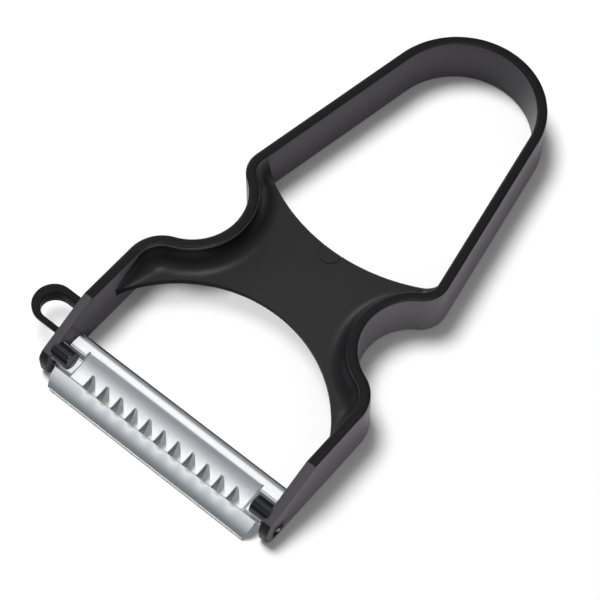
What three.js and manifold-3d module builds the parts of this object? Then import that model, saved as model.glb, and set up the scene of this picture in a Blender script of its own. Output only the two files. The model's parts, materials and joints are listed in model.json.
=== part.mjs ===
// Julienne peeler: a one-piece moulded frame and a pressed steel blade that swivels between its arms.
// Millimetres, +Z up, lying flat as on a table. +Y runs from the blade to the crown of the handle.

import * as THREE from 'three';
import { mergeVertices } from 'three/addons/utils/BufferGeometryUtils.js';
import loadManifold from 'manifold-3d';

const manifold = await loadManifold();
manifold.setup();

// Frame band: one wall that runs from an arm tip, round the handle, to the other arm tip
const frameLength = 116.75;
const frameHeight = 12;
const wallThickness = 2.25;
const rimEdgeRadius = 0.45;
const armOuterHalfWidth = 30;
const armBendRadius = 8.1;
const waistHalfWidth = 17.7;
const waistRadius = 11.3;
const waistY = 46.55;
const shoulderHalfWidth = 25.35;
const shoulderRadius = 6.05;
const crownRadius = 18.4;

// Arm tips: the rim slopes down to the tip, and the tip's corners are round
const facetLength = 14.6;
const tipHeight = 6.1;
const tipLowerRadius = 2;
const tipUpperRadius = 2.2;
const tipEndRadius = 0.9;

// Web between the arms and the handle, at half height, with large fillets up and down the walls
const webThickness = 1.4;
const webFilletRadius = 4;
const webFrontSetback = 8.95;
const webFrontRadius = 31;
const webBackSetback = 9.85;
const webBackRadius = 42;

// Blade pivot: half-round journals in round holes through the arm tips
const pivotY = 3.3;
const pivotZ = 1.85;
const journalRadius = 1.5;
const journalClearance = 0.1;
const journalRecess = 0.6;

// Stop pegs inside the arm tips, above the blade's end plates
const pegRadius = 2.1;
const pegLength = 3.9;
const pegForward = 0.5;
const pegClearance = 0.3;
const pegChamfer = 0.25;

// Loop on the outside of one arm, for digging out eyes
const loopReach = 9.75;
const loopY = 10.55;
const loopRadius = 4.5;
const loopHoleRadius = 3.1;
const loopEndWall = 1.85;
const loopEdgeWall = 0.75;
const loopTopZ = 7.5;
const loopDepth = 3.8;
const loopEdgeDepth = 0.7;

// Blade: heights and distances from the pivot axis, on the top face of the sheet
const sheetThickness = 0.6;
const bladeEndGap = 0.75;
const bladeSideShift = -0.35;
const railBack = 7.3;
const railBackDrop = 0.95;
const railBend = 6.1;
const railBendDrop = 0.15;
const creaseAhead = 4.7;
const creaseHeight = 2.65;
const endPlateWidth = 4.05;
const endPlateTop = 1.35;
const endPlateSlope = 2.1;
const endPlateRise = 1;
const endPlateLap = 0.35;
const panelFrontHeight = 1.6;
const panelSlit = 0.5;
const stripBack = 1.9;
const stripBackHeight = 1.7;
const stripFront = 5.45;
const stripFrontDrop = 1.1;
const stripBulge = 1.05;
const stripEndInset = 0.7;
const stripCornerCut = 0.75;
const stripCornerLength = 1.65;

// Teeth: triangular notches whose cut-out triangles are folded down as fins
const slotGap = 0.35;
const notchPitch = 3.78;
const notchWidth = 3.5;
const notchLength = 3.2;
const notchMargin = 3.3;
const finDrop = 2.9;
const finLean = THREE.MathUtils.degToRad(71);
const finThickness = 0.5;
const finInset = 0.05;

// Facet sizes of round shapes
const arcStep = THREE.MathUtils.degToRad(7);
const cornerSteps = 2;
const filletSteps = 6;
const roundSides = 36;
const webArcSides = 128;
const curveSteps = 6;
const overlap = 0.6;

const frameMaterial = new THREE.MeshStandardMaterial({ color: 0x1f1f21, roughness: 0.5, metalness: 0 });
const bladeMaterial = new THREE.MeshStandardMaterial({ color: 0xd3d6d8, roughness: 0.22, metalness: 1 });

// Closed geometry through a row of sections with equal point counts; the profile triangulates the ends
function loft(sections, profile) {
  const count = profile.length;
  const positions = sections.flat().flatMap((point) => [point.x, point.y, point.z]);
  const indices = [];
  for (let row = 0; row + 1 < sections.length; row += 1) {
    for (let column = 0; column < count; column += 1) {
      const a = row * count + column;
      const b = row * count + ((column + 1) % count);
      indices.push(a, b, a + count, b, b + count, a + count);
    }
  }
  const last = (sections.length - 1) * count;
  for (const corners of THREE.ShapeUtils.triangulateShape(profile, [])) {
    const sameWay = THREE.ShapeUtils.isClockWise(corners.map((corner) => profile[corner]))
      === THREE.ShapeUtils.isClockWise(profile);
    const [a, b, c] = sameWay ? corners : [...corners].reverse();
    indices.push(a, c, b);
    indices.push(last + a, last + b, last + c);
  }
  const geometry = new THREE.BufferGeometry();
  geometry.setAttribute('position', new THREE.Float32BufferAttribute(positions, 3));
  geometry.setIndex(indices);
  return geometry;
}

// Six times the volume inside a triangle mesh, negative where its faces point inward
function signedVolume(vertices, triangles) {
  const corners = [new THREE.Vector3(), new THREE.Vector3(), new THREE.Vector3()];
  let total = 0;
  for (let index = 0; index < triangles.length; index += 3) {
    corners.forEach((corner, side) => corner.fromArray(vertices, triangles[index + side] * 3));
    total += corners[0].dot(corners[1].cross(corners[2]));
  }
  return total;
}

// Boolean solid of a closed geometry, with its faces pointing out
function solidOf(geometry) {
  geometry.deleteAttribute('normal');
  geometry.deleteAttribute('uv');
  const merged = mergeVertices(geometry, 1e-4);
  const vertProperties = new Float32Array(merged.attributes.position.array);
  const triVerts = new Uint32Array(merged.index.array);
  if (signedVolume(vertProperties, triVerts) < 0) {
    for (let index = 0; index < triVerts.length; index += 3) {
      [triVerts[index], triVerts[index + 1]] = [triVerts[index + 1], triVerts[index]];
    }
  }
  return new manifold.Manifold(new manifold.Mesh({ numProp: 3, vertProperties, triVerts }));
}

function meshOf(solid, name, material) {
  const { vertProperties, triVerts } = solid.getMesh();
  const geometry = new THREE.BufferGeometry();
  geometry.setAttribute('position', new THREE.BufferAttribute(new Float32Array(vertProperties), 3));
  geometry.setIndex(new THREE.BufferAttribute(new Uint32Array(triVerts), 1));
  geometry.computeVertexNormals();
  const mesh = new THREE.Mesh(geometry, material);
  mesh.name = name;
  return mesh;
}

// Round bar along X between two places
function barAlongX(radius, from, to, y, z) {
  const geometry = new THREE.CylinderGeometry(radius, radius, to - from, roundSides);
  geometry.rotateZ(Math.PI / 2);
  geometry.translate((from + to) / 2, y, z);
  return solidOf(geometry);
}

// Upright cylinder through the whole height of the frame
function uprightCutter(radius, y) {
  const geometry = new THREE.CylinderGeometry(radius, radius, frameHeight * 2, webArcSides);
  geometry.rotateX(Math.PI / 2);
  geometry.translate(0, y, frameHeight / 2);
  return solidOf(geometry);
}

// Outline of the band's right half: arcs that touch each other, as centres and radii
const armBend = new THREE.Vector2(armOuterHalfWidth - armBendRadius, 0);
const waist = new THREE.Vector2(waistHalfWidth + waistRadius, waistY);
const shoulder = new THREE.Vector2(shoulderHalfWidth - shoulderRadius, 0);
const crown = new THREE.Vector2(0, frameLength - crownRadius);
armBend.y = waistY - Math.sqrt((armBendRadius + waistRadius) ** 2 - (waist.x - armBend.x) ** 2);
shoulder.y = waistY + Math.sqrt((shoulderRadius + waistRadius) ** 2 - (waist.x - shoulder.x) ** 2);

// Directions from an arc's centre to the points where it meets its neighbours
const armToWaist = Math.atan2(waist.y - armBend.y, waist.x - armBend.x);
const shoulderToWaist = Math.atan2(waist.y - shoulder.y, waist.x - shoulder.x);
const shoulderToCrown = crown.clone().sub(shoulder);
const legNormal = shoulderToCrown.angle() - Math.acos((shoulderRadius - crownRadius) / shoulderToCrown.length());

// Stations of an arc: the point on the outer face, the way inward and the tightest radius inside it
function arcStations(centre, radius, from, to, hollow) {
  const steps = Math.max(2, Math.ceil(Math.abs(to - from) / arcStep));
  return Array.from({ length: steps + 1 }, (_, index) => {
    const angle = from + ((to - from) * index) / steps;
    const outward = new THREE.Vector2(Math.cos(angle), Math.sin(angle));
    return {
      point: centre.clone().addScaledVector(outward, radius),
      inward: hollow ? outward : outward.clone().negate(),
      room: hollow ? Infinity : radius - wallThickness,
    };
  });
}

// Stations along the straight arm, closer together where the tip is round
function armStations() {
  const corner = (radius) => Array.from({ length: 5 }, (_, index) => {
    return radius * (1 - Math.cos((index * Math.PI) / 8));
  });
  const places = [tipLowerRadius, tipUpperRadius, tipEndRadius].flatMap(corner);
  const sorted = [...new Set([...places, facetLength])].sort((a, b) => a - b);
  return sorted.map((y) => ({
    point: new THREE.Vector2(armOuterHalfWidth, y),
    inward: new THREE.Vector2(-1, 0),
    room: Infinity,
  }));
}

const shoulderArc = arcStations(shoulder, shoulderRadius, shoulderToWaist, legNormal, false);
const crownArc = arcStations(crown, crownRadius, legNormal, Math.PI / 2, false);
const halfStations = [
  ...armStations(),
  ...arcStations(armBend, armBendRadius, 0, armToWaist, false),
  ...arcStations(waist, waistRadius, armToWaist + Math.PI, shoulderToWaist + Math.PI, true).slice(1),
  ...shoulderArc.slice(1),
  ...crownArc,
];

// Station on the straight leg between the shoulder and the crown
function legStation(y) {
  const foot = shoulderArc.at(-1).point;
  const { point: top, inward } = crownArc[0];
  return { point: foot.clone().lerp(top, (y - foot.y) / (top.y - foot.y)), inward, room: Infinity };
}

const mirrored = ({ point, inward, room }) => ({
  point: new THREE.Vector2(-point.x, point.y),
  inward: new THREE.Vector2(-inward.x, inward.y),
  room,
});

// How far a round corner of the tip lies back from its full height
function cornerLoss(radius, y) {
  const short = Math.max(0, radius - y);
  return radius - Math.sqrt(radius ** 2 - short ** 2);
}

function rimTop(y) {
  const slope = (frameHeight - tipHeight) / facetLength;
  return frameHeight - Math.max(0, facetLength - y) * slope - cornerLoss(tipUpperRadius, y);
}

// Section of the band: a tall rectangle with round corners, as distance inward and height
function bandProfile(bottom, top, inset) {
  const radius = Math.min(rimEdgeRadius, (wallThickness / 2 - inset) * 0.9);
  const outer = inset + radius;
  const inner = wallThickness - outer;
  const corners = [
    [outer, bottom + radius, Math.PI],
    [inner, bottom + radius, 1.5 * Math.PI],
    [inner, top - radius, 0],
    [outer, top - radius, 0.5 * Math.PI],
  ];
  return corners.flatMap(([across, height, start]) => {
    return Array.from({ length: cornerSteps + 1 }, (_, index) => {
      const angle = start + (index * Math.PI) / 2 / cornerSteps;
      return new THREE.Vector2(
        across + radius * Math.cos(angle),
        height + radius * Math.sin(angle),
      );
    });
  });
}

// Places a profile at a station: x of the profile runs inward from the outer face, y runs up
function placed(profile, { point, inward }, start = 0) {
  return profile.map(({ x, y }) => new THREE.Vector3(
    point.x + inward.x * (x + start),
    point.y + inward.y * (x + start),
    y,
  ));
}

function makeBand() {
  const stations = [...halfStations, ...halfStations.slice(0, -1).reverse().map(mirrored)];
  const sections = stations.map((station) => {
    const { y } = station.point;
    const profile = bandProfile(cornerLoss(tipLowerRadius, y), rimTop(y), cornerLoss(tipEndRadius, y));
    return placed(profile, station);
  });
  return solidOf(loft(sections, bandProfile(0, frameHeight, 0)));
}

// Web: a plate and, along each wall, a fillet that climbs it above and below the plate
function makeWeb() {
  const middle = frameHeight / 2;
  const plateTop = middle + webThickness / 2;
  const reach = Math.min(webFilletRadius, frameHeight - rimEdgeRadius - plateTop);
  const quarter = Array.from({ length: filletSteps + 1 }, (_, index) => {
    const angle = (index * Math.PI) / 2 / filletSteps;
    return new THREE.Vector2(reach * (1 - Math.cos(angle)), plateTop + reach * (1 - Math.sin(angle)));
  });
  const upper = [new THREE.Vector2(-overlap, plateTop + reach), ...quarter];
  const lower = upper.map(({ x, y }) => new THREE.Vector2(x, 2 * middle - y)).reverse();
  const profile = [...upper, ...lower];

  const front = armBend.y - webFilletRadius * 2;
  const back = shoulder.y + shoulderRadius + webFilletRadius;
  const first = { ...armStations()[0], point: new THREE.Vector2(armOuterHalfWidth, front) };
  const along = halfStations.filter(({ point }) => point.y > front && point.y < back);
  const side = [first, ...along, legStation(back)];
  const fillet = (stations) => loft(stations.map((station) => {
    const squeeze = Math.min(1, (station.room * 0.95) / reach);
    const drawnIn = profile.map(({ x, y }) => new THREE.Vector2(x > 0 ? x * squeeze : x, y));
    return placed(drawnIn, station, wallThickness);
  }), profile);

  const middleOf = ({ point, inward }) => point.clone().addScaledVector(inward, wallThickness / 2);
  const edge = [...side.map(middleOf), ...side.map(mirrored).map(middleOf).reverse()];
  const plate = new THREE.ExtrudeGeometry(new THREE.Shape(edge), { depth: webThickness, bevelEnabled: false });
  plate.translate(0, 0, middle - webThickness / 2);

  return solidOf(plate)
    .add(solidOf(fillet(side)))
    .add(solidOf(fillet(side.map(mirrored))))
    .subtract(uprightCutter(webFrontRadius, waistY - webFrontSetback - webFrontRadius))
    .subtract(uprightCutter(webBackRadius, waistY + webBackSetback + webBackRadius));
}

// Stop peg on the inner face of an arm, with a small chamfer on its free end
function makePeg(sign) {
  const root = armOuterHalfWidth - wallThickness + overlap;
  const free = armOuterHalfWidth - wallThickness - pegLength;
  const outline = [
    [0, root],
    [pegRadius, root],
    [pegRadius, free + pegChamfer],
    [pegRadius - pegChamfer, free],
    [0, free],
  ];
  const geometry = new THREE.LatheGeometry(outline.map(([x, y]) => new THREE.Vector2(x, y)), roundSides);
  geometry.rotateZ((-sign * Math.PI) / 2);
  geometry.translate(0, pivotY + pegForward, pivotZ + endPlateTop + pegClearance + pegRadius);
  return solidOf(geometry);
}

// Loop on the left arm: deep at the back and thin at its front edge, with the hole drawn to that edge
function makeLoop() {
  const face = -armOuterHalfWidth;
  const end = face - loopReach;
  const holeX = end + loopEndWall + loopHoleRadius;
  const holeY = loopY - loopRadius + loopEdgeWall + loopHoleRadius;
  const outline = new THREE.Shape();
  outline.moveTo(face + overlap, loopY + loopRadius);
  outline.lineTo(end + loopRadius, loopY + loopRadius);
  outline.absarc(end + loopRadius, loopY, loopRadius, Math.PI / 2, 1.5 * Math.PI, false);
  outline.lineTo(face + overlap, loopY - loopRadius);
  const hole = new THREE.Path();
  hole.moveTo(face, holeY - loopHoleRadius);
  hole.lineTo(holeX, holeY - loopHoleRadius);
  hole.absarc(holeX, holeY, loopHoleRadius, 1.5 * Math.PI, Math.PI / 2, true);
  hole.lineTo(face, holeY + loopHoleRadius);
  outline.holes.push(hole);
  const settings = { depth: loopDepth, bevelEnabled: false, curveSegments: roundSides / 2 };
  const ring = new THREE.ExtrudeGeometry(outline, settings);
  ring.translate(0, 0, loopTopZ - loopDepth);

  const near = loopY - loopRadius;
  const far = holeY + loopHoleRadius;
  const below = loopTopZ - loopDepth - overlap;
  const slant = [
    new THREE.Vector2(near - overlap, below),
    new THREE.Vector2(far, below),
    new THREE.Vector2(far, loopTopZ - loopDepth),
    new THREE.Vector2(near, loopTopZ - loopEdgeDepth),
    new THREE.Vector2(near - overlap, loopTopZ - loopEdgeDepth),
  ];
  const sections = [end - overlap, face].map((x) => slant.map((point) => new THREE.Vector3(x, point.x, point.y)));
  return solidOf(ring).subtract(solidOf(loft(sections, slant)));
}

function makeFrame() {
  const holeRadius = journalRadius + journalClearance;
  const span = armOuterHalfWidth + overlap;
  const solid = makeBand()
    .add(makeWeb())
    .add(makePeg(1))
    .add(makePeg(-1))
    .add(makeLoop())
    .subtract(barAlongX(holeRadius, -span, span, pivotY, pivotZ));
  return meshOf(solid, 'frame', frameMaterial);
}

// Sheet under a line of places, each as forward, height, its two ends across and the way to its lower face
function sheet(places) {
  const sections = places.map(({ point, from, to, down }) => {
    const lower = point.clone().addScaledVector(down, sheetThickness);
    return [
      new THREE.Vector3(from, point.x, point.y),
      new THREE.Vector3(to, point.x, point.y),
      new THREE.Vector3(to, lower.x, lower.y),
      new THREE.Vector3(from, lower.x, lower.y),
    ];
  });
  const square = [[0, 0], [1, 0], [1, -1], [0, -1]].map(([x, y]) => new THREE.Vector2(x, y));
  return solidOf(loft(sections, square));
}

const bladeHalf = armOuterHalfWidth - wallThickness - bladeEndGap;
const panelHalf = bladeHalf - endPlateWidth - panelSlit;
const panelFront = -stripBack + slotGap;

const crease = new THREE.Vector2(creaseAhead, creaseHeight);
const railLine = [
  new THREE.Vector2(railBack, creaseHeight - railBackDrop),
  new THREE.Vector2(railBend, creaseHeight - railBendDrop),
  crease,
];
const panelCurve = new THREE.QuadraticBezierCurve(
  crease,
  new THREE.Vector2((creaseAhead + panelFront) / 2, panelFrontHeight),
  new THREE.Vector2(panelFront, panelFrontHeight),
);
const stripBackPoint = new THREE.Vector2(-stripBack, stripBackHeight);
const stripFrontPoint = new THREE.Vector2(-stripFront, -stripFrontDrop);
const stripChord = stripFrontPoint.clone().sub(stripBackPoint);
const stripOutward = new THREE.Vector2(stripChord.y, -stripChord.x).normalize();
const stripCurve = new THREE.QuadraticBezierCurve(
  stripBackPoint,
  stripBackPoint.clone().lerp(stripFrontPoint, 0.5).addScaledVector(stripOutward, stripBulge),
  stripFrontPoint,
);

const straightDown = new THREE.Vector2(0, -1);
const stripInward = stripOutward.clone().negate();
const across = (line, from, to) => line.map((point) => ({ point, from, to, down: straightDown }));

function makeRail() {
  return sheet(across(railLine, -bladeHalf, bladeHalf));
}

function makeStrip() {
  return sheet(stripCurve.getPoints(curveSteps).map((point) => {
    const fromFront = point.x + stripFront;
    const inset = stripEndInset + stripCornerCut * Math.max(0, 1 - fromFront / stripCornerLength);
    return { point, from: inset - bladeHalf, to: bladeHalf - inset, down: stripInward };
  }));
}

// End plate: drops from the crease to pass under the stop peg, then rises and runs on inside the strip
function makeEndPlate(sign) {
  const inner = bladeHalf - endPlateWidth;
  const narrow = bladeHalf - stripEndInset;
  const lapPoint = stripBackPoint.clone().lerp(stripFrontPoint, endPlateLap / stripChord.length());
  const flat = [
    railLine[1],
    crease,
    new THREE.Vector2(creaseAhead - endPlateSlope, endPlateTop),
    new THREE.Vector2(endPlateRise - stripBack, endPlateTop),
  ];
  const span = (outer) => ({
    from: Math.min(sign * inner, sign * outer),
    to: Math.max(sign * inner, sign * outer),
  });
  return sheet([
    ...flat.map((point) => ({ point, ...span(bladeHalf), down: straightDown })),
    { point: lapPoint, ...span(narrow), down: stripInward },
  ]);
}

// Journal: a half-round tongue of the sheet, concentric with the pivot
function makeJournal(sign) {
  const shape = new THREE.Shape();
  shape.absarc(0, 0, journalRadius, 0, Math.PI, false);
  shape.absarc(0, 0, journalRadius - sheetThickness, Math.PI, 0, true);
  const root = bladeHalf - overlap * 2;
  const length = armOuterHalfWidth - journalRecess - root;
  const geometry = new THREE.ExtrudeGeometry(shape, {
    depth: length,
    bevelEnabled: false,
    curveSegments: roundSides / 3,
  });
  geometry.rotateX(Math.PI / 2);
  geometry.rotateZ(Math.PI / 2);
  geometry.translate(sign > 0 ? root : -root - length, 0, 0);
  return solidOf(geometry);
}

// Height of the toothed panel's top face at a place ahead of the pivot
function panelHeight(y) {
  const points = panelCurve.getPoints(40);
  const after = Math.max(1, points.findIndex(({ x }) => x <= y));
  const a = points[after - 1];
  const b = points[after];
  return a.y + ((b.y - a.y) * (y - a.x)) / (b.x - a.x);
}

// Upright triangular cutter for one notch: square to the front edge on one side, slanted on the other
function makeNotch(x) {
  const front = panelFront - overlap;
  const slant = notchWidth / notchLength;
  const outline = [
    new THREE.Vector2(x, panelFront + notchLength),
    new THREE.Vector2(x, front),
    new THREE.Vector2(x + notchWidth + slant * overlap, front),
  ];
  const heights = [panelFrontHeight - sheetThickness * 3, creaseHeight + sheetThickness];
  const sections = heights.map((z) => outline.map((point) => new THREE.Vector3(point.x, point.y, z)));
  return solidOf(loft(sections, outline));
}

// Fin folded down along the square side of a notch: nothing at the notch's point, deepest at the front
function makeFin(x) {
  const point = panelFront + notchLength;
  const sink = sheetThickness / 2;
  const aside = finDrop / Math.tan(finLean);
  const faceAt = (shift) => [
    new THREE.Vector3(x + shift, point, panelHeight(point) - sink),
    new THREE.Vector3(x + shift, panelFront, panelFrontHeight - sink),
    new THREE.Vector3(x + shift + aside, panelFront, panelFrontHeight - sink - finDrop),
  ];
  const outline = [[0, 0], [-1, 0], [-1, -1]].map(([u, v]) => new THREE.Vector2(u, v));
  return solidOf(loft([faceAt(-finThickness - finInset), faceAt(-finInset)], outline));
}

function makePanel() {
  let panel = sheet(across([railLine[1], ...panelCurve.getPoints(curveSteps)], -panelHalf, panelHalf));
  const notches = Math.floor((2 * panelHalf - notchMargin) / notchPitch);
  for (let index = 0; index < notches; index += 1) {
    const x = -panelHalf + notchMargin + index * notchPitch;
    panel = panel.subtract(makeNotch(x)).add(makeFin(x));
  }
  return panel;
}

function makeBlade() {
  const solid = makeRail()
    .add(makePanel())
    .add(makeStrip())
    .add(makeEndPlate(1))
    .add(makeEndPlate(-1))
    .add(makeJournal(1))
    .add(makeJournal(-1));
  const blade = meshOf(solid, 'blade', bladeMaterial);
  blade.position.set(bladeSideShift, pivotY, pivotZ);
  return blade;
}

// The origin is under the middle of the whole object, on the face it lies on
const peeler = new THREE.Group();
peeler.add(makeFrame(), makeBlade());
const bounds = new THREE.Box3().setFromObject(peeler);
const centre = bounds.getCenter(new THREE.Vector3());
peeler.position.set(-centre.x, -centre.y, -bounds.min.z);

export default peeler;
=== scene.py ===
import json
import math

import bmesh
import bpy
from mathutils import Matrix, Vector


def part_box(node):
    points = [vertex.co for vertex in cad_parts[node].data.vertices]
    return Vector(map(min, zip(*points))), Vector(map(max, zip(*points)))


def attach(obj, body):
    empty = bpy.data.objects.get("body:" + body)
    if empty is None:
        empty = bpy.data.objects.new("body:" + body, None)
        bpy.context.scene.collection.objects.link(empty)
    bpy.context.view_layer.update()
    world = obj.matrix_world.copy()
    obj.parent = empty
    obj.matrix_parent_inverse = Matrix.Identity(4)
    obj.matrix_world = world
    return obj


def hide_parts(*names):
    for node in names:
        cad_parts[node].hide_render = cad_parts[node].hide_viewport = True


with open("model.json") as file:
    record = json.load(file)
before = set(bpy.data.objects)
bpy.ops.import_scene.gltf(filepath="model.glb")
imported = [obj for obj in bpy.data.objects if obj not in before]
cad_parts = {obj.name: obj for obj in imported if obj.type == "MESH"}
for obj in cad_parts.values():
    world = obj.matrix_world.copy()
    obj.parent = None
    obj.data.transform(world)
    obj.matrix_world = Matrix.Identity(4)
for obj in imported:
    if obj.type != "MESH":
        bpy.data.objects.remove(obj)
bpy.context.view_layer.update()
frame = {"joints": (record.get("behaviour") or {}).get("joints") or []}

perMetre = 1000               # sizes below are in mm, the scene is in metres
frameLow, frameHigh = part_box("frame")
pivot = Vector(frame["joints"][0]["pos_m"]) * perMetre     # swivel axis, in the part's frame

# x = 0 is the peeler's middle plane, y = 0 the arm tips, z = 0 the table
moulding = {
    "length": 116.75,
    "height": 12.0,
    "wall": 2.25,
    "rimRound": 0.45,
    "roundShare": 0.45,       # most of the wall that one of its two edge rounds may take
    "armHalfWidth": 30.0,
    "armBendRadius": 8.1,
    "waistHalfWidth": 17.7,
    "waistRadius": 11.3,
    "waistY": 46.55,
    "shoulderHalfWidth": 25.35,
    "shoulderRadius": 6.05,
    "crownRadius": 18.4,
    "facetLength": 14.6,
    "facetSoft": 0.15,        # half the length over which the rim turns into the sloped tip
    "tipHeight": 6.1,
    "tipLowerRound": 2.0,
    "tipUpperRound": 2.2,
    "tipOuterRound": 0.65,
    "tipInnerRound": 0.4,
    "holeRadius": 1.6,
    "holeSides": 48,
    "sunk": 0.6,              # how far the web and the pegs reach into the band
    "arcStep": math.radians(2.5),
}
toPart = Vector((frameHigh.x * perMetre - moulding["armHalfWidth"], frameLow.y * perMetre, 0))


def linear(hexColour):
    channels = [int(hexColour[place:place + 2], 16) / 255 for place in (1, 3, 5)]
    return (*[c / 12.92 if c <= 0.04045 else ((c + 0.055) / 1.055) ** 2.4 for c in channels], 1)


def addNode(tree, kind, settings=None, links=None):
    node = tree.nodes.new(kind)
    for name, value in (settings or {}).items():
        setattr(node, name, value)
    for name, value in (links or {}).items():
        if isinstance(value, bpy.types.NodeSocket):
            tree.links.new(value, node.inputs[name])
        else:
            node.inputs[name].default_value = value
    return node


# mesh helpers
weldDistance = 1e-4
mouldedCrease = math.radians(40)     # an edge that turns by more stays sharp
sheetCrease = math.radians(30)


def lerp(start, end, share):
    return start + (end - start) * share


def quarterTurn(steps, start=0.0):
    return [start + step * math.pi / 2 / steps for step in range(steps + 1)]


def loft(mesh, sections):
    rings = [[mesh.verts.new(point) for point in section] for section in sections]
    count = len(rings[0])
    for near, far in zip(rings, rings[1:]):
        for index in range(count):
            after = (index + 1) % count
            mesh.faces.new((near[index], near[after], far[after], far[index]))
    mesh.faces.new(rings[0][::-1])
    mesh.faces.new(rings[-1])


# the upper and lower faces of a sheet, between two grids of vertices
def bothFaces(mesh, upper, lower):
    for row in range(len(upper) - 1):
        for column in range(len(upper[0]) - 1):
            corners = ((row, column), (row, column + 1), (row + 1, column + 1), (row + 1, column))
            mesh.faces.new([upper[down][across] for down, across in corners])
            mesh.faces.new([lower[down][across] for down, across in (corners[0], *corners[:0:-1])])


# a sheet with its upper face on a grid of points; walls says which border spans get a side face
def thickPatch(mesh, rows, downs, walls):
    upper = [[mesh.verts.new(point) for point in row] for row in rows]
    lower = [[mesh.verts.new(point + down) for point in row] for row, down in zip(rows, downs)]
    bothFaces(mesh, upper, lower)
    lastRow, lastColumn = len(rows) - 1, len(rows[0]) - 1
    for column in range(lastColumn):
        for side, row in (("first", 0), ("last", lastRow)):
            if walls(side, column):
                mesh.faces.new((upper[row][column], lower[row][column],
                                lower[row][column + 1], upper[row][column + 1]))
    for row in range(lastRow):
        for side, column in (("left", 0), ("right", lastColumn)):
            if walls(side, row):
                mesh.faces.new((upper[row][column], lower[row][column],
                                lower[row + 1][column], upper[row + 1][column]))


def setCreases(mesh, sharpAngle):
    for edge in mesh.edges:
        edge.smooth = edge.is_manifold and edge.calc_face_angle(0) < sharpAngle


def meshPiece(name, mesh, place, sharpAngle, *materials):
    bmesh.ops.remove_doubles(mesh, verts=mesh.verts, dist=weldDistance)
    bmesh.ops.dissolve_degenerate(mesh, edges=mesh.edges, dist=weldDistance)
    bmesh.ops.recalc_face_normals(mesh, faces=mesh.faces)
    setCreases(mesh, sharpAngle)
    for face in mesh.faces:
        face.smooth = True
    toMetres = Matrix.Scale(1 / perMetre, 4) @ Matrix.Translation(place)
    bmesh.ops.transform(mesh, verts=mesh.verts, matrix=toMetres)
    data = bpy.data.meshes.new(name)
    mesh.to_mesh(data)
    mesh.free()
    piece = bpy.data.objects.new(name, data)
    bpy.context.scene.collection.objects.link(piece)
    for material in materials:
        data.materials.append(material)
    return piece


# the piece with its modifiers made plain mesh
def settled(piece):
    shown = piece.evaluated_get(bpy.context.evaluated_depsgraph_get())
    data = bpy.data.meshes.new_from_object(shown)
    piece.modifiers.clear()
    piece.data = data
    return piece


def cutBy(piece, cutters):
    for cutter in cutters:
        modifier = piece.modifiers.new("cut", "BOOLEAN")
        modifier.operation = "DIFFERENCE"
        modifier.solver = "MANIFOLD"
        modifier.object = cutter
    settled(piece)
    for cutter in cutters:
        bpy.data.objects.remove(cutter)


def rod(name, radius, start, end, sides, material):
    mesh = bmesh.new()
    length = (end - start).length
    turn = (end - start).to_track_quat("Z", "Y").to_matrix().to_4x4()
    bmesh.ops.create_cone(mesh, cap_ends=True, segments=sides, radius1=radius, radius2=radius, depth=length,
                          matrix=Matrix.Translation((start + end) / 2) @ turn)
    return meshPiece(name, mesh, toPart, sheetCrease, material)


# materials
noiseLow, noiseHigh = 0.3, 0.7       # most of a noise texture's values lie between these
polypropylene = {
    "rimColour": "#0a0a0b",
    # wallColour and outerColour are painted light on steep faces, paler than the dark mass colour of the
    # upright faces
    "wallColour": "#39373a",
    "outerColour": "#4d4a4e",
    "webColour": "#121213",
    "filletColour": "#141315",
    "pegColour": "#0b0b0c",
    "steepFrom": 0.4,         # painted by facing: a face has its wall colour if its normal is less upright than this
    "flatFrom": 0.7,          # and its face colour if it is more upright than this
    "rimRoughness": 0.34,
    "webRoughness": 0.4,
    "pegRoughness": 0.22,
    "roughnessSpread": 0.03,
    "flow": 14.0,             # size of the slightly duller and shinier patches, mm
    "ior": 1.19,              # below the usual 1.49: the matt skin gives back little of the white studio
    "webIor": 1.27,
    "pegIor": 1.42,
    "cutIor": 1.1,            # the openings' cut edges and the loop are duller still
    "grain": 0.35,            # spark-eroded mould texture, mm; drawn coarser than the real 0.1 so it shows
    "grainDepth": 0.006,
    "rimGrain": 0.15,
    "webGrain": 0.3,
    "pegGrain": 0.1,
}
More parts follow.
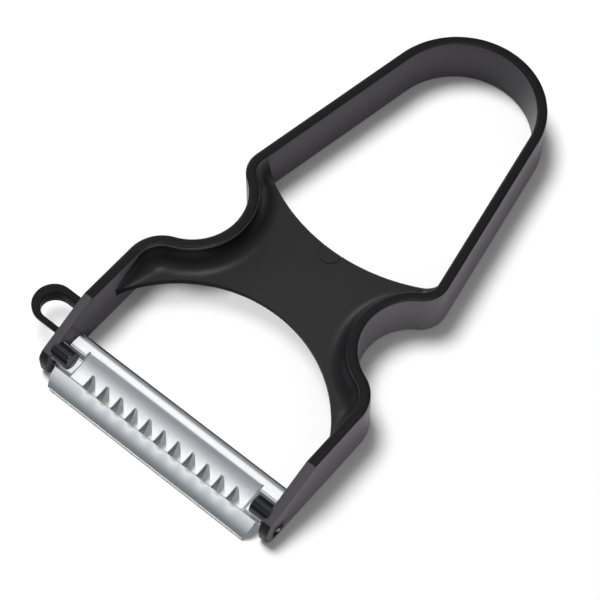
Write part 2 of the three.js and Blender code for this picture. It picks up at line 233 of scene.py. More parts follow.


# Injection-moulded polypropylene: satin skin off a fine spark-eroded mould, dark mass colour, soft sheen;
# the base colour is painted light and shade by facing: steep faces take the wall colour, upright faces the
# face colour
def mouldedPlastic(name, faceColour, wallColour, roughness, grainShare, ior):
    plastic = polypropylene
    material = bpy.data.materials.new(name)
    material.use_nodes = True
    tree = material.node_tree
    shader = tree.nodes["Principled BSDF"]
    shader.inputs["IOR"].default_value = ior
    coordinates = addNode(tree, "ShaderNodeTexCoord").outputs
    place = coordinates["Object"]
    facing = addNode(tree, "ShaderNodeSeparateXYZ", None, {"Vector": coordinates["Normal"]})
    upright = addNode(tree, "ShaderNodeMath", {"operation": "ABSOLUTE"}, {0: facing.outputs["Z"]})
    # painted light and shade: the base colour runs from the wall colour on steep faces to the face colour
    # on upright ones
    facingShade = addNode(tree, "ShaderNodeValToRGB", None, {"Fac": upright.outputs["Value"]})
    ends = ((plastic["steepFrom"], wallColour), (plastic["flatFrom"], faceColour))
    for stop, (position, colour) in zip(facingShade.color_ramp.elements, ends):
        stop.position = position
        stop.color = linear(colour)
    tree.links.new(facingShade.outputs["Color"], shader.inputs["Base Color"])
    grain = addNode(tree, "ShaderNodeTexNoise", None, {
        "Vector": place, "Scale": perMetre / plastic["grain"], "Detail": 2.0})
    flow = addNode(tree, "ShaderNodeTexNoise", None, {
        "Vector": place, "Scale": perMetre / plastic["flow"], "Detail": 1.0})
    rough = addNode(tree, "ShaderNodeMapRange", None, {
        "Value": flow.outputs["Fac"], "From Min": noiseLow, "From Max": noiseHigh,
        "To Min": roughness - plastic["roughnessSpread"], "To Max": roughness + plastic["roughnessSpread"]})
    bump = addNode(tree, "ShaderNodeBump", None, {
        "Height": grain.outputs["Fac"], "Strength": grainShare,
        "Distance": plastic["grainDepth"] / perMetre})
    tree.links.new(rough.outputs["Result"], shader.inputs["Roughness"])
    tree.links.new(bump.outputs["Normal"], shader.inputs["Normal"])
    return material


stainless = {
    "colour": "#f6f7f8",
    # painted shade: the fins, folded under the panel, take this darker steel colour
    "finShadeColour": "#85878a",
    "edgeColour": "#303134",  # the rail's rear edge and the necks of the journals, which stay in the shade
    "metallic": 0.85,         # the rest is the milky part of a wiped, not mirror-bright, sheet
    "roughness": 0.16,
    "shearedRoughness": 0.4,
    "roughnessSpread": 0.04,
    "lineSpacing": 0.25,      # polishing lines along the blade, mm apart
    "lineLength": 30.0,
    "lineDepth": 0.0008,
    "lineStrength": 0.25,
}


# Cold-rolled stainless sheet, pressed and polished: bright, with faint lines along the rolling direction
def pressedSteel(name, colour, roughness):
    steel = stainless
    material = bpy.data.materials.new(name)
    material.use_nodes = True
    tree = material.node_tree
    shader = tree.nodes["Principled BSDF"]
    shader.inputs["Base Color"].default_value = linear(colour)
    shader.inputs["Metallic"].default_value = steel["metallic"]
    place = addNode(tree, "ShaderNodeTexCoord").outputs["Object"]
    alongLines, acrossLines = perMetre / steel["lineLength"], perMetre / steel["lineSpacing"]
    drawn = addNode(tree, "ShaderNodeMapping", None, {
        "Vector": place, "Scale": (alongLines, acrossLines, acrossLines)})
    lines = addNode(tree, "ShaderNodeTexNoise", None, {
        "Vector": drawn.outputs["Vector"], "Scale": 1.0, "Detail": 2.0})
    rough = addNode(tree, "ShaderNodeMapRange", None, {
        "Value": lines.outputs["Fac"], "From Min": noiseLow, "From Max": noiseHigh,
        "To Min": roughness - steel["roughnessSpread"], "To Max": roughness + steel["roughnessSpread"]})
    bump = addNode(tree, "ShaderNodeBump", None, {
        "Height": lines.outputs["Fac"], "Strength": steel["lineStrength"],
        "Distance": steel["lineDepth"] / perMetre})
    tree.links.new(rough.outputs["Result"], shader.inputs["Roughness"])
    tree.links.new(bump.outputs["Normal"], shader.inputs["Normal"])
    return material


# the frame's skins differ in these values only, each named by its key
def skin(name, face, wall, roughness, grain, ior="ior"):
    return mouldedPlastic(name, *[polypropylene[key] for key in (face, wall, roughness, grain, ior)])


rimPlastic = skin("satinPolypropylene", "rimColour", "wallColour", "rimRoughness", "rimGrain")
webPlastic = skin("mattPolypropylene", "webColour", "filletColour", "webRoughness", "webGrain", "webIor")
cutPlastic = skin("cutPolypropylene", "webColour", "filletColour", "webRoughness", "webGrain", "cutIor")
# painted light: the outer walls' palest colour
outerPlastic = skin("outerPolypropylene", "rimColour", "outerColour", "rimRoughness", "rimGrain")
# painted light: the sloped tips take the pale wall colour on their upright faces too
facetPlastic = skin("facetPolypropylene", "wallColour", "wallColour", "rimRoughness", "rimGrain")
pegPlastic = skin("glossyPolypropylene", "pegColour", "pegColour", "pegRoughness", "pegGrain", "pegIor")
# painted shade: the loop's walls take the near-black peg colour, darker than its top face
loopPlastic = skin("dullPolypropylene", "webColour", "pegColour", "rimRoughness", "pegGrain", "cutIor")
bladeSteel = pressedSteel("pressedStainless", stainless["colour"], stainless["roughness"])
finShadeSteel = pressedSteel("finShadeStainless", stainless["finShadeColour"], stainless["shearedRoughness"])
edgeSteel = pressedSteel("rolledEdge", stainless["edgeColour"], stainless["shearedRoughness"])
print("materials made")


# frame band: arcs that touch each other, on the right half, then mirrored;
# a station is a point on the outer face, the way inward from it and the room for a fillet inside
def bandOutline():
    bendRadius, waistRadius = moulding["armBendRadius"], moulding["waistRadius"]
    shoulderRadius, crownRadius = moulding["shoulderRadius"], moulding["crownRadius"]
    waist = Vector((moulding["waistHalfWidth"] + waistRadius, moulding["waistY"]))
    armBend = Vector((moulding["armHalfWidth"] - bendRadius, 0))
    shoulder = Vector((moulding["shoulderHalfWidth"] - shoulderRadius, 0))
    crown = Vector((0, moulding["length"] - crownRadius))
    armBend.y = waist.y - math.sqrt((bendRadius + waistRadius) ** 2 - (waist.x - armBend.x) ** 2)
    shoulder.y = waist.y + math.sqrt((shoulderRadius + waistRadius) ** 2 - (waist.x - shoulder.x) ** 2)
    armToWaist = math.atan2(waist.y - armBend.y, waist.x - armBend.x)
    shoulderToWaist = math.atan2(waist.y - shoulder.y, waist.x - shoulder.x)
    toCrown = crown - shoulder
    reach = math.acos((shoulderRadius - crownRadius) / toCrown.length)
    legNormal = math.atan2(toCrown.y, toCrown.x) - reach

    def arc(centre, radius, start, end, hollow):
        steps = max(2, math.ceil(abs(end - start) / moulding["arcStep"]))
        stations = []
        for index in range(steps + 1):
            angle = lerp(start, end, index / steps)
            outward = Vector((math.cos(angle), math.sin(angle)))
            room = math.inf if hollow else radius - moulding["wall"]
            stations.append((centre + outward * radius, outward if hollow else -outward, room))
        return stations

    bend = arc(armBend, bendRadius, 0, armToWaist, False)
    hollow = arc(waist, waistRadius, armToWaist + math.pi, shoulderToWaist + math.pi, True)
    turn = arc(shoulder, shoulderRadius, shoulderToWaist, legNormal, False)
    top = arc(crown, crownRadius, legNormal, math.pi / 2, False)
    return bend + hollow[1:] + turn[1:] + top, armBend.y, shoulder.y


def mirroredStation(station):
    point, inward, room = station
    return Vector((-point.x, point.y)), Vector((-inward.x, inward.y)), room


outline, armBendY, shoulderY = bandOutline()


def roundLoss(radius, distance):
    short = max(0.0, radius - distance)
    return radius - math.sqrt(radius ** 2 - short ** 2)


def rimTop(y):
    slope = (moulding["height"] - moulding["tipHeight"]) / moulding["facetLength"]
    drop = max(0.0, moulding["facetLength"] - y) * slope
    return moulding["height"] - drop - roundLoss(moulding["tipUpperRound"], y)


# rounded rectangle, as distance inward from the outer face and height
def wallSection(outerInset, innerInset, bottom, top, steps=4):
    width = moulding["wall"] - outerInset - innerInset
    cornerRound = min(moulding["rimRound"], width * moulding["roundShare"])
    outer, inner = outerInset + cornerRound, moulding["wall"] - innerInset - cornerRound
    corners = [
        (outer, bottom + cornerRound, math.pi),
        (inner, bottom + cornerRound, 1.5 * math.pi),
        (inner, top - cornerRound, 0),
        (outer, top - cornerRound, 0.5 * math.pi),
    ]
    section = []
    for across, height, start in corners:
        for angle in quarterTurn(steps, start):
            section.append((across + cornerRound * math.cos(angle), height + cornerRound * math.sin(angle)))
    return section


def placedAt(section, station, start=0.0):
    point, inward, room = station
    return [Vector((*(point + inward * (across + start)), height)) for across, height in section]


# how far a face has to point each way, 1 being straight
pointing = {
    "boreSideways": 0.5,      # at most
    "endForward": 0.6,        # at least, as are those below
    "slopeForward": 0.2,
    "slopeUp": 0.6,
    "crownBack": 0.001,       # weight that decides on the crown's middle, where no face points sideways
}


# painted light and shade by place: the sloped tips take the pale wall colour as painted light, their blunt
# ends the dark web plastic as painted shade, the bore the black peg plastic as painted shade; the outer
# walls take the palest colour, painted light
def bandSkin(place, normal):
    inBore = (place - pivot).yz.length < moulding["holeRadius"]
    # painted shade inside the pivot bore
    if inBore and abs(normal.x) < pointing["boreSideways"]:
        return pegPlastic
    # painted shade on the blunt tip ends
    if -normal.y > pointing["endForward"] and place.y < pivot.y:
        return webPlastic
    onTip = place.y - toPart.y < moulding["facetLength"]
    # painted light on the sloped tip facets
    if onTip and -normal.y > pointing["slopeForward"] and normal.z > pointing["slopeUp"]:
        return facetPlastic
    # painted light: outward walls take the palest colour
    outward = normal.x * (place.x - toPart.x) + pointing["crownBack"] * normal.y
    return outerPlastic if outward > 0 else rimPlastic


def makeBand():
    tipSteps = 9
    facet, soft = moulding["facetLength"], moulding["facetSoft"]
    places = {facet, facet - soft, facet + soft}
    for key in ("tipLowerRound", "tipUpperRound", "tipOuterRound", "tipInnerRound"):
        places |= {round(moulding[key] * (1 - math.cos(angle)), 5) for angle in quarterTurn(tipSteps)}
    arm = [(Vector((moulding["armHalfWidth"], y)), Vector((-1, 0)), math.inf) for y in sorted(places)]
    half = arm + outline
    stations = half + [mirroredStation(station) for station in half[-2::-1]]
    mesh = bmesh.new()
    sections = []
    for station in stations:
        y = station[0].y
        outerInset = roundLoss(moulding["tipOuterRound"], y)
        innerInset = roundLoss(moulding["tipInnerRound"], y)
        bottom = roundLoss(moulding["tipLowerRound"], y)
        sections.append(placedAt(wallSection(outerInset, innerInset, bottom, rimTop(y)), station))
    loft(mesh, sections)
    skins = (rimPlastic, pegPlastic, facetPlastic, webPlastic, outerPlastic)
    piece = meshPiece("frameBand", mesh, toPart, mouldedCrease, *skins)
    span = Vector((moulding["armHalfWidth"] + 1, 0, 0))      # 1 mm past each arm
    axis = Vector((0, pivot.y - toPart.y, pivot.z))
    bore = rod("pivotBore", moulding["holeRadius"], axis - span, axis + span,
               moulding["holeSides"], rimPlastic)
    cutBy(piece, [bore])
    for face in piece.data.polygons:
        face.material_index = skins.index(bandSkin(face.center * perMetre, face.normal))
    return piece


web = {
    "thickness": 1.4,
    "fillet": 4.0,
    "filletRise": 4.5,
    "filletShare": 0.95,      # most of the room inside a bend that a fillet may take
    "endFillet": 0.5,         # the fillets run out to almost nothing on the arms
    "frontArcY": 7.0,
    "frontRadius": 31.0,
    "backArcY": 98.4,
    "backRadius": 42.0,
    "arcSides": 256,
    "cutterReach": 1.5,       # half the height of the rods that cut the two arcs, in heights of the frame
    "cutUpright": 0.05,       # a face that points up or down by less than this was cut
    "markY": 55.5,            # half-round gate mark at the rear edge
    "markRadius": 2.4,
    "markWidth": 0.3,
    "markDepth": 0.15,
    "markEnd": math.radians(28),
}


def gateMark(material):
    mesh = bmesh.new()
    face = (moulding["height"] + web["thickness"]) / 2
    steps = 40
    sections = []
    for step in range(steps + 1):
        angle = lerp(math.pi - web["markEnd"], 2 * math.pi + web["markEnd"], step / steps)
        section = []
        for across, height in ((-1, -1), (1, -1), (1, 1), (-1, 1)):
            radius = web["markRadius"] + across * web["markWidth"] / 2
            section.append(Vector((radius * math.cos(angle), web["markY"] + radius * math.sin(angle),
                                   face + height * web["markDepth"])))
        sections.append(section)
    loft(mesh, sections)
    return meshPiece("gateMark", mesh, toPart, mouldedCrease, material)


# web: a plate whose fillets climb the walls, trimmed by the two arcs of the openings
def makeWeb():
    middle = moulding["height"] / 2
    half = web["thickness"] / 2
    filletSteps = 10
    quarter = [(1 - math.cos(angle), 1 - math.sin(angle)) for angle in quarterTurn(filletSteps)]
    front, back = armBendY - 2 * web["fillet"], shoulderY + moulding["shoulderRadius"] + web["fillet"]
    side = [(Vector((moulding["armHalfWidth"], front)), Vector((-1, 0)), math.inf)]
    side += [station for station in outline if front < station[0].y < back]
    foot = side[-1][0]
    legTop, legInward, room = next(station for station in outline if station[0].y >= back)
    side.append((foot.lerp(legTop, (back - foot.y) / (legTop.y - foot.y)), legInward, math.inf))
    mesh = bmesh.new()
    sections = []
    for index, station in enumerate(side):
        fillet, rise = (web["fillet"], web["filletRise"]) if index else (web["endFillet"], web["endFillet"])
        reach = min(fillet, station[2] * web["filletShare"])
        upper = [(-moulding["sunk"], half + rise)] + [(x * reach, half + z * rise) for x, z in quarter]
        right = placedAt([(x, middle + z) for x, z in upper], station, moulding["wall"])
        rightLow = placedAt([(x, middle - z) for x, z in upper], station, moulding["wall"])
        left = [Vector((-point.x, point.y, point.z)) for point in right]
        leftLow = [Vector((-point.x, point.y, point.z)) for point in rightLow]
        sections.append(right + left[::-1] + leftLow + rightLow[::-1])
    loft(mesh, sections)
    piece = meshPiece("frameWeb", mesh, toPart, mouldedCrease, webPlastic, cutPlastic)
    up = Vector((0, 0, moulding["height"] * web["cutterReach"]))
    cutters = [gateMark(webPlastic)]
    for name in ("front", "back"):
        centre = Vector((0, web[name + "ArcY"], middle))
        radius = web[name + "Radius"]
        cutters.append(rod(name + "Arc", radius, centre - up, centre + up, web["arcSides"], webPlastic))
    cutBy(piece, cutters)
    mesh = bmesh.new()
    mesh.from_mesh(piece.data)
    setCreases(mesh, mouldedCrease)
    for face in mesh.faces:
        face.material_index = int(abs(face.normal.z) < web["cutUpright"])
    mesh.to_mesh(piece.data)
    mesh.free()
    return piece


loop = {
    "reach": 9.75,
    "y": 10.55,
    "radius": 4.5,
    "holeRadius": 3.1,
    "endWall": 2.2,
    "edgeWall": 1.15,
    "top": 7.5,
    "depth": 3.8,
    "edgeDepth": 1.4,
    "edgeRound": 0.28,
    "roundShare": 0.4,        # most of the section that one edge round may take
}


# loop: a U that is deep on its far side and thins to a scooping edge on its near side
def makeLoop():
    face = -moulding["armHalfWidth"]
    end = face - loop["reach"]
    outerCentre = Vector((end + loop["radius"], loop["y"]))
    holeY = loop["y"] - loop["radius"] + loop["edgeWall"] + loop["holeRadius"]
    innerCentre = Vector((end + loop["endWall"] + loop["holeRadius"], holeY))
    inside = face + moulding["wall"] / 2
    near, far = loop["y"] - loop["radius"], holeY + loop["holeRadius"]

    def bottom(y):
        share = min(1, max(0, (y - near) / (far - near)))
        return loop["top"] - lerp(loop["edgeDepth"], loop["depth"], share)

    pairs = [(Vector((inside, near)), Vector((inside, holeY - loop["holeRadius"])))]
    bendSteps, roundSteps = 40, 3
    for step in range(bendSteps + 1):
        angle = -math.pi / 2 - math.pi * step / bendSteps
        way = Vector((math.cos(angle), math.sin(angle)))
        pairs.append((outerCentre + way * loop["radius"], innerCentre + way * loop["holeRadius"]))
    pairs.append((Vector((inside, loop["y"] + loop["radius"])), Vector((inside, far))))
    mesh = bmesh.new()
    corners = [(0, 0, math.pi), (1, 0, 1.5 * math.pi), (1, 1, 0), (0, 1, 0.5 * math.pi)]
    sections = []
    for outer, inner in pairs:
        across = (inner - outer).length
        height = loop["top"] - bottom(outer.y)
        edge = min(loop["edgeRound"], across * loop["roundShare"], height * loop["roundShare"])
        section = []
        for isInner, isTop, start in corners:
            for angle in quarterTurn(roundSteps, start):
                along = lerp(edge, across - edge, isInner) + edge * math.cos(angle)
                spot = outer.lerp(inner, along / across)
                z = lerp(bottom(spot.y) + edge, loop["top"] - edge, isTop) + edge * math.sin(angle)
                section.append(Vector((*spot, z)))
        sections.append(section)
    loft(mesh, sections)
    return meshPiece("eyeLoop", mesh, toPart, mouldedCrease, loopPlastic)


peg = {
    "radius": 2.1,
    "length": 3.9,
    "forward": 0.5,
    "lift": 3.75,             # above the pivot
    "endRound": 0.3,
    "sides": 48,
}


# stop pegs: short round studs inside the arm tips
def makePegs():
    mesh = bmesh.new()
    inner = moulding["armHalfWidth"] - moulding["wall"]
    centreY = pivot.y - toPart.y + peg["forward"]
    centreZ = pivot.z + peg["lift"]
    roundSteps = 5
    profile = [(inner + moulding["sunk"], peg["radius"])]
    for angle in quarterTurn(roundSteps):
        profile.append((inner - peg["length"] + peg["endRound"] * (1 - math.sin(angle)),
                        peg["radius"] - peg["endRound"] * (1 - math.cos(angle))))
    turns = [2 * math.pi * side / peg["sides"] for side in range(peg["sides"])]
    for sign in (-1, 1):
        rings = []
        for x, radius in profile:
            ring = []
            for turn in turns:
                y, z = centreY + radius * math.cos(turn), centreZ + radius * math.sin(turn)
                ring.append(Vector((sign * x, y, z)))
            rings.append(ring)
        loft(mesh, rings)
    return meshPiece("stopPegs", mesh, toPart, mouldedCrease, pegPlastic)


band = makeBand()
webPiece = makeWeb()
loopPiece = makeLoop()
pegs = makePegs()
for piece in (band, webPiece, loopPiece, pegs):
    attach(piece, "frame")
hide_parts("frame")
print("frame moulding made")


# blade: pairs are distances back from and heights above the swivel axis, on the upper face of the sheet
blade = {
    "thickness": 0.6,
    "half": 27.0,
    "railBack": (7.3, 1.7),
    "railRoll": (6.8, 2.27),
    "railBend": (6.05, 2.52),
    "crease": (4.7, 2.65),
    "panelFront": -1.55,
    "panelFrontHeight": 1.6,
    "panelHalf": 22.5,
    "plateInner": 22.95,
    "plateTop": 1.35,
    "plateLevel": (3.5, 2.6),
    "plateSlopeEnd": 2.6,
    "plateRise": -0.9,
    "plateRound": 0.4,
    "bendRound": 0.3,
    "stripBack": (-1.9, 1.7),
    "stripFront": (-5.35, -0.95),
    "stripBevel": (-5.4, -1.07),
    "stripBulge": 0.35,
    "stripWave": 0.22,        # depth of the dish that the punch leaves at each tooth
    "stripWaveShare": 0.55,   # share of the strip that the dishes reach over
    "stripEndInset": 0.7,
    "stripCornerCut": 0.75,
    "stripCornerLength": 1.65,
    "journalRadius": 1.5,
    "journalEnd": 29.9,
    "journalRoot": 25.8,
    "journalShade": 28.2,     # the tongue takes the dark edge steel, painted shade, from the sheet's end to here, just inside the hole
}
teeth = {
    "count": 11,
    "pitch": 3.78,
    "margin": 3.3,
    "notchWidth": 3.5,
    "notchLength": 3.0,
    "notchPoint": 0.65,       # width of the notch's blunt point
    "finLength": 3.2,
    "finLean": math.radians(84),
    "foldRound": 0.35,
    "rows": 8,
    "finColumns": 10,
    "finGathering": 1.6,      # above 1 the columns crowd towards the fold
    "stripColumns": 8,
}
straightDown = Vector((0, 0, -blade["thickness"]))
firstNotch = teeth["margin"] - blade["panelHalf"]
lastNotchEnd = firstNotch + teeth["count"] * teeth["pitch"]


# a line whose inner corners are drawn as small arcs
def roundedLine(points, radius, steps=4):
    corners = [Vector(point) for point in points]
    line = [corners[0]]
    for before, corner, after in zip(corners, corners[1:], corners[2:]):
        back, ahead = before - corner, after - corner
        start = corner + back.normalized() * min(radius, back.length / 2)
        end = corner + ahead.normalized() * min(radius, ahead.length / 2)
        for step in range(steps + 1):
            share = step / steps
            line.append(start.lerp(corner, share).lerp(corner.lerp(end, share), share))
    return line + [corners[-1]]


def panelTop(y):
    depth = (y - blade["panelFront"]) / (blade["crease"][0] - blade["panelFront"])
    return lerp(blade["panelFrontHeight"], blade["crease"][1], depth ** 2)


def gridRows(line, columns):
    return [[Vector((x, y, z)) for x in columns] for y, z in line]


toothBack = blade["panelFront"] + teeth["notchLength"]
toothRows = [lerp(toothBack, blade["panelFront"], row / teeth["rows"]) for row in range(teeth["rows"] + 1)]


# one tooth beside its notch
def makeTooth():
    mesh = bmesh.new()
    rows = []
    for y in toothRows:
        left = lerp(teeth["notchPoint"], teeth["notchWidth"], (toothBack - y) / teeth["notchLength"])
        rows.append([Vector((lerp(left, teeth["pitch"], share), y, panelTop(y))) for share in (0, 0.5, 1)])
    thickPatch(mesh, rows, [straightDown] * len(rows), lambda side, place: side in ("left", "last"))
    return meshPiece("bladeTeeth", mesh, Vector((firstNotch, 0, 0)), sheetCrease)


# the fin folded down along the notch's straight side
def makeFin():
    mesh = bmesh.new()
    radius, lean, columns = teeth["foldRound"], teeth["finLean"], teeth["finColumns"]
    upper, lower = [], []
    for y in toothRows:
        reach = teeth["finLength"] * (toothBack - y) / teeth["notchLength"]
        upper.append([])
        lower.append([])
        for column in range(columns + 1):
            run = reach * (column / columns) ** teeth["finGathering"]
            turn = min(run / radius, lean)
            rest = max(0.0, run - lean * radius)
            x = radius * math.sin(turn) + rest * math.cos(lean)
            z = panelTop(y) - radius * (1 - math.cos(turn)) - rest * math.sin(lean)
            upper[-1].append(mesh.verts.new((x, y, z)))
            lower[-1].append(mesh.verts.new((x - blade["thickness"] * math.sin(turn), y,
                                             z - blade["thickness"] * math.cos(turn))))
    bothFaces(mesh, upper, lower)
    for row in range(len(toothRows) - 1):
        mesh.faces.new((upper[row][-1], lower[row][-1], lower[row + 1][-1], upper[row + 1][-1]))
    for column in range(columns):
        mesh.faces.new((upper[-1][column], upper[-1][column + 1], lower[-1][column + 1], lower[-1][column]))
    return meshPiece("bladeFins", mesh, Vector((firstNotch, 0, 0)), sheetCrease)


def toothRowTree():
    tree = bpy.data.node_groups.new("toothRow", "GeometryNodeTree")
    for name, kind in (("Tooth", "NodeSocketGeometry"), ("Count", "NodeSocketInt"),
                       ("Pitch", "NodeSocketFloat"), ("Steel", "NodeSocketMaterial")):
        tree.interface.new_socket(name, in_out="INPUT", socket_type=kind)
    tree.interface.new_socket("Row", in_out="OUTPUT", socket_type="NodeSocketGeometry")
    given = addNode(tree, "NodeGroupInput").outputs
    step = addNode(tree, "ShaderNodeCombineXYZ", None, {"X": given["Pitch"]})
    line = addNode(tree, "GeometryNodeMeshLine", {"mode": "OFFSET"}, {
        "Count": given["Count"], "Offset": step.outputs["Vector"]})
    copies = addNode(tree, "GeometryNodeInstanceOnPoints", None, {
        "Points": line.outputs["Mesh"], "Instance": given["Tooth"]})
    whole = addNode(tree, "GeometryNodeRealizeInstances", None, {"Geometry": copies.outputs["Instances"]})
    finished = addNode(tree, "GeometryNodeSetMaterial", None, {
        "Geometry": whole.outputs["Geometry"], "Material": given["Steel"]})
    addNode(tree, "NodeGroupOutput", None, {"Row": finished.outputs["Geometry"]})
    return tree


def makeRow(row, tree, steel):
    modifier = row.modifiers.new("toothRow", "NODES")
    modifier.node_group = tree
    wanted = {"Count": teeth["count"], "Pitch": teeth["pitch"] / perMetre, "Steel": steel}
    for item in tree.interface.items_tree:
        if item.in_out == "INPUT" and item.name in wanted:
            modifier[item.identifier] = wanted[item.name]
    return settled(row)


def makeSheet(mesh):
    half, inner, panel = blade["half"], blade["plateInner"], blade["panelHalf"]
    point = teeth["notchPoint"]
    panelColumns = [-panel]
    for index in range(teeth["count"]):
        notch = firstNotch + index * teeth["pitch"]
        panelColumns += [notch, notch + point, notch + lerp(point, teeth["pitch"], 0.5)]
    panelColumns += [lastNotchEnd, panel]
    points = range(1, 3 * teeth["count"], 3)
    railColumns = [-half, -inner, *panelColumns, inner, half]
    slits = (1, len(railColumns) - 3)

    railLine = roundedLine([blade["railBack"], blade["railRoll"], blade["railBend"], blade["crease"]],
                           blade["bendRound"])
    rows = gridRows(railLine, railColumns)
    thickPatch(mesh, rows, [straightDown] * len(rows),
               lambda side, place: side != "last" or place in slits)

    steps = 10
    panelLine = []
    for step in range(steps + 1):
        y = lerp(blade["crease"][0], toothBack, step / steps)
        panelLine.append((y, panelTop(y)))
    rows = gridRows(panelLine, panelColumns)
    thickPatch(mesh, rows, [straightDown] * len(rows),
               lambda side, place: side in ("left", "right") or side == "last" and place in points)

    margins = [(y, panelTop(y)) for y in toothRows]
    for columns, outside in (((-panel, firstNotch), "left"), ((lastNotchEnd, panel), "right")):
        rows = gridRows(margins, columns)
        thickPatch(mesh, rows, [straightDown] * len(rows),
                   lambda side, place, outside=outside: side in (outside, "last"))


def stripLine(steps=16):
    back, front = Vector(blade["stripBack"]), Vector(blade["stripFront"])
    chord = front - back
    outward = Vector((chord.y, -chord.x)).normalized()
    control = back.lerp(front, 0.5) + outward * blade["stripBulge"]
    points = []
    for step in range(steps + 1):
        share = step / steps
        points.append(back.lerp(control, share).lerp(control.lerp(front, share), share))
    points.append(Vector(blade["stripBevel"]))
    return points, Vector((0, *(-outward * blade["thickness"])))


def makeStrip(mesh, points, down):
    perTooth = teeth["stripColumns"]
    columns = range(teeth["count"] * perTooth + 1)
    between = [firstNotch + teeth["pitch"] * column / perTooth for column in columns]
    rows = []
    for index, (y, z) in enumerate(points):
        cut = max(0.0, 1 - (y - blade["stripFront"][0]) / blade["stripCornerLength"])
        end = blade["half"] - blade["stripEndInset"] - blade["stripCornerCut"] * cut
        near = max(0.0, 1 - index / (blade["stripWaveShare"] * len(points)))
        row = [Vector((x, y, z)) for x in (-end, -blade["plateInner"])]
        for x in between:
            wave = math.cos(2 * math.pi * (x - firstNotch) / teeth["pitch"]) - 1
            row.append(Vector((x, y, z + blade["stripWave"] / 2 * near ** 2 * wave)))
        rows.append(row + [Vector((x, y, z)) for x in (blade["plateInner"], end)])
    plateSpans = (0, len(rows[0]) - 2)
    thickPatch(mesh, rows, [down] * len(rows),
               lambda side, place: side != "first" or place not in plateSpans)


# end plates: they step down from the crease and rise again to the strip
def makePlates(mesh, stripDown):
    line = roundedLine([blade["crease"], blade["plateLevel"], (blade["plateSlopeEnd"], blade["plateTop"]),
                        (blade["plateRise"], blade["plateTop"]), blade["stripBack"]], blade["plateRound"])
    for sign in (-1, 1):
        rows, downs = [], []
        for index, (y, z) in enumerate(line):
            final = index == len(line) - 1
            outer = blade["half"] - blade["stripEndInset"] if final else blade["half"]
            rows.append([Vector((sign * x, y, z)) for x in (blade["plateInner"], outer)])
            downs.append(stripDown if final else straightDown)
        thickPatch(mesh, rows, downs, lambda side, place: side in ("left", "right"))


# journals: half-round tongues that turn in the arm tips
def makeJournals(mesh):
    outer = blade["journalRadius"]
    inner = outer - blade["thickness"]
    sides = 20
    turns = [math.pi * side / sides for side in range(sides + 1)]
    for sign in (-1, 1):
        sections = []
        for x in (blade["journalRoot"], blade["half"], blade["journalShade"], blade["journalEnd"]):
            ring = []
            for radius, arc in ((outer, turns), (inner, turns[::-1])):
                for turn in arc:
                    ring.append(Vector((sign * x, radius * math.cos(turn), radius * math.sin(turn))))
            sections.append(ring)
        loft(mesh, sections)


def makeBlade():
    tree = toothRowTree()
    mesh = bmesh.new()
    steels = (bladeSteel, finShadeSteel, edgeSteel)
    # the fins get the darker steel as painted shade
    for shape, steel in ((makeTooth(), bladeSteel), (makeFin(), finShadeSteel)):
        row = makeRow(shape, tree, steel)
        made = len(mesh.faces)
        mesh.from_mesh(row.data)
        mesh.faces.ensure_lookup_table()
        for face in mesh.faces[made:]:
            face.material_index = steels.index(steel)
        bpy.data.objects.remove(row)
    bmesh.ops.scale(mesh, vec=(perMetre, perMetre, perMetre), verts=mesh.verts)
    points, stripDown = stripLine()
    makeSheet(mesh)
    makeStrip(mesh, points, stripDown)
    makePlates(mesh, stripDown)
    makeJournals(mesh)
    # painted shade: the rail's rear edge and the journal necks take the dark edge steel
    for face in mesh.faces:
        middle = face.calc_center_median()
        if middle.y > blade["railRoll"][0] or blade["half"] < abs(middle.x) < blade["journalShade"]:
            face.material_index = steels.index(edgeSteel)
    return meshPiece("bladeSheet", mesh, pivot, sheetCrease, *steels)


bladePiece = makeBlade()
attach(bladePiece, "blade")
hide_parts("blade")
print("blade made")


studio = {
    "floorColour": "#f4f4f4",
    "floorHalf": 3.0,         # half the floor's side, m
    "floorDrop": 0.02,        # mm below the table plane, so that the frame's lower edge stays clear of it
    "floorGlow": 0.06,
    "white": "#ffffff",
    "skyFill": 0.18,
    # what polished steel mirrors, by degrees from straight up: the front is negative, the back positive
    "mirrored": (
        (-90, "#20282d"), (-77, "#2c353b"), (-68, "#545d63"), (-59, "#949ca0"), (-50, "#bec4c7"),
        (-41, "#dadddf"), (-34, "#f4f5f5"), (-26, "#aeb3b6"), (-14, "#596167"), (-4, "#b0b5b8"),
        (4, "#eceeef"), (10, "#ffffff"), (32, "#ffffff"), (42, "#acacb1"), (54, "#707074"), (90, "#48484c"),
    ),
    # lamps: distance and sizes in m, powers in W, ways as seen from the part's origin
    "lampDistance": 1.5,
    "keyPower": 14.4,
    "keySize": 0.525,
    "keyWay": (-0.334, 0.072, 0.94),
    "boxPower": 8.1,
    "boxSize": 0.75,
    "boxWay": (-0.334, 0.072, 0.94),
    "topPower": 11.2,
    "topSize": 0.5,
    "topWay": (0.05, -0.05, 1.0),
    "backPower": 7.5,
    "backSize": 0.5,
    "backWay": (-0.75, 0.45, 0.5),
    "sidePower": 14.4,
    "sideSize": 0.75,
    "sideWay": (0.78, -0.45, 0.43),
}


# whether a ray comes from the camera, and whether from a reflection
def seenRays(tree):
    path = addNode(tree, "ShaderNodeLightPath").outputs
    either = addNode(tree, "ShaderNodeMath", {"operation": "MAXIMUM"}, {
        0: path["Is Glossy Ray"], 1: path["Is Transmission Ray"]})
    return path["Is Camera Ray"], either.outputs["Value"]


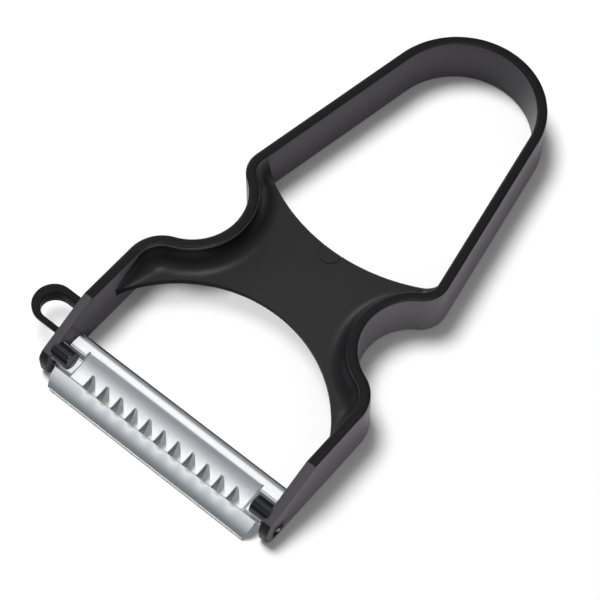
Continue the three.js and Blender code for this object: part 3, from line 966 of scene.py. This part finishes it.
# matt white paper, which glows a little where it is seen so that it meets the white backdrop
def makeFloor():
    mesh = bmesh.new()
    bmesh.ops.create_grid(mesh, x_segments=1, y_segments=1, size=studio["floorHalf"] * perMetre)
    floor = meshPiece("floor", mesh, Vector((0, 0, -studio["floorDrop"])), sheetCrease)
    material = bpy.data.materials.new("paleFloor")
    material.use_nodes = True
    tree = material.node_tree
    tree.nodes.clear()
    camera, mirror = seenRays(tree)
    seen = addNode(tree, "ShaderNodeMath", {"operation": "MAXIMUM"}, {0: camera, 1: mirror})
    strength = addNode(tree, "ShaderNodeMath", {"operation": "MULTIPLY"}, {
        0: seen.outputs["Value"], 1: studio["floorGlow"]})
    paint = addNode(tree, "ShaderNodeBsdfDiffuse", None, {"Color": linear(studio["floorColour"])})
    glow = addNode(tree, "ShaderNodeEmission", None, {"Strength": strength.outputs["Value"]})
    both = addNode(tree, "ShaderNodeAddShader", None, {
        0: paint.outputs["BSDF"], 1: glow.outputs["Emission"]})
    addNode(tree, "ShaderNodeOutputMaterial", None, {"Surface": both.outputs["Shader"]})
    floor.data.materials.append(material)


# the backdrop is white to the camera, a row of paler and darker cards to polished steel,
# and a plain grey fill to everything else
def makeWorld():
    world = bpy.data.worlds.new("whiteStudio")
    bpy.context.scene.world = world
    world.use_nodes = True
    tree = world.node_tree
    tree.nodes.clear()
    camera, mirror = seenRays(tree)
    way = addNode(tree, "ShaderNodeTexCoord").outputs["Generated"]
    part = addNode(tree, "ShaderNodeSeparateXYZ", None, {"Vector": way}).outputs
    turn = addNode(tree, "ShaderNodeMath", {"operation": "ARCTAN2"}, {0: part["Y"], 1: part["Z"]})
    share = addNode(tree, "ShaderNodeMapRange", None, {
        "Value": turn.outputs["Value"], "From Min": -math.pi / 2, "From Max": math.pi / 2})
    cards = addNode(tree, "ShaderNodeValToRGB", None, {"Fac": share.outputs["Result"]})
    stops = cards.color_ramp.elements
    while len(stops) < len(studio["mirrored"]):
        stops.new(0.5)
    for stop, (degrees, colour) in zip(stops, studio["mirrored"]):
        stop.position = (degrees + 90) / 180
        stop.color = linear(colour)
    white = linear(studio["white"])
    seen = addNode(tree, "ShaderNodeBackground", None, {"Color": cards.outputs["Color"]})
    fill = addNode(tree, "ShaderNodeBackground", None, {"Color": white, "Strength": studio["skyFill"]})
    backdrop = addNode(tree, "ShaderNodeBackground", None, {"Color": white})
    lit = addNode(tree, "ShaderNodeMixShader", None, {
        0: mirror, 1: fill.outputs["Background"], 2: seen.outputs["Background"]})
    sky = addNode(tree, "ShaderNodeMixShader", None, {
        0: camera, 1: lit.outputs["Shader"], 2: backdrop.outputs["Background"]})
    addNode(tree, "ShaderNodeOutputWorld", None, {"Surface": sky.outputs["Shader"]})


def makeLamp(name):
    data = bpy.data.lights.new(name + "Lamp", "AREA")
    data.shape = "DISK"
    data.size = studio[name + "Size"]
    data.energy = studio[name + "Power"]
    lamp = bpy.data.objects.new(name + "Lamp", data)
    way = Vector(studio[name + "Way"])
    lamp.location = way.normalized() * studio["lampDistance"]
    lamp.rotation_euler = way.to_track_quat("Z", "Y").to_euler()
    bpy.context.scene.collection.objects.link(lamp)
    return lamp


def gathered(name, pieces):
    group = bpy.data.collections.new(name)
    for piece in pieces:
        group.objects.link(piece)
    return group


# key and box shine from one place, the box wider; the key's light passes the thin web and the loop,
# so that these two throw only the box's soft shadow; the other lamps light plastic only
def makeLamps():
    walls = gathered("wallsOnly", (band, loopPiece, pegs))
    plastic = gathered("plasticOnly", (band, webPiece, loopPiece, pegs))
    casters = gathered("shadowCasters", (band, pegs, bladePiece))
    for name, receivers, blockers in (("box", None, None), ("key", None, casters), ("top", plastic, None),
                                      ("back", plastic, None), ("side", walls, None)):
        lamp = makeLamp(name)
        lamp.light_linking.receiver_collection = receivers
        lamp.light_linking.blocker_collection = blockers
        lamp.visible_glossy = receivers is not None      # steel mirrors neither of the lamps that light it
    for piece in (band, pegs):
        piece.visible_glossy = False      # nor these, so that the cards alone shape its look


makeFloor()
makeWorld()
makeLamps()
print("studio made")


photo = {
    "azimuth": math.radians(39.856),
    "elevation": math.radians(60.325),
    "lookAt": Vector((-0.2, 46.11, 0)),
    "distance": 431.9,
    "lens": 126.0,
    "sensor": 36.0,
    "clipStart": 0.01,        # m
}


def makeCamera():
    data = bpy.data.cameras.new("photoCamera")
    data.lens = photo["lens"]
    data.sensor_width = photo["sensor"]
    data.clip_start = photo["clipStart"]
    camera = bpy.data.objects.new("photoCamera", data)
    flat = math.cos(photo["elevation"])
    back = Vector((math.sin(photo["azimuth"]) * flat, -math.cos(photo["azimuth"]) * flat,
                   math.sin(photo["elevation"])))
    camera.location = (photo["lookAt"] + toPart + back * photo["distance"]) / perMetre
    camera.rotation_euler = back.to_track_quat("Z", "Y").to_euler()
    bpy.context.scene.collection.objects.link(camera)
    bpy.context.scene.camera = camera


makeCamera()
bpy.context.scene.view_settings.view_transform = "Standard"
print("camera set")
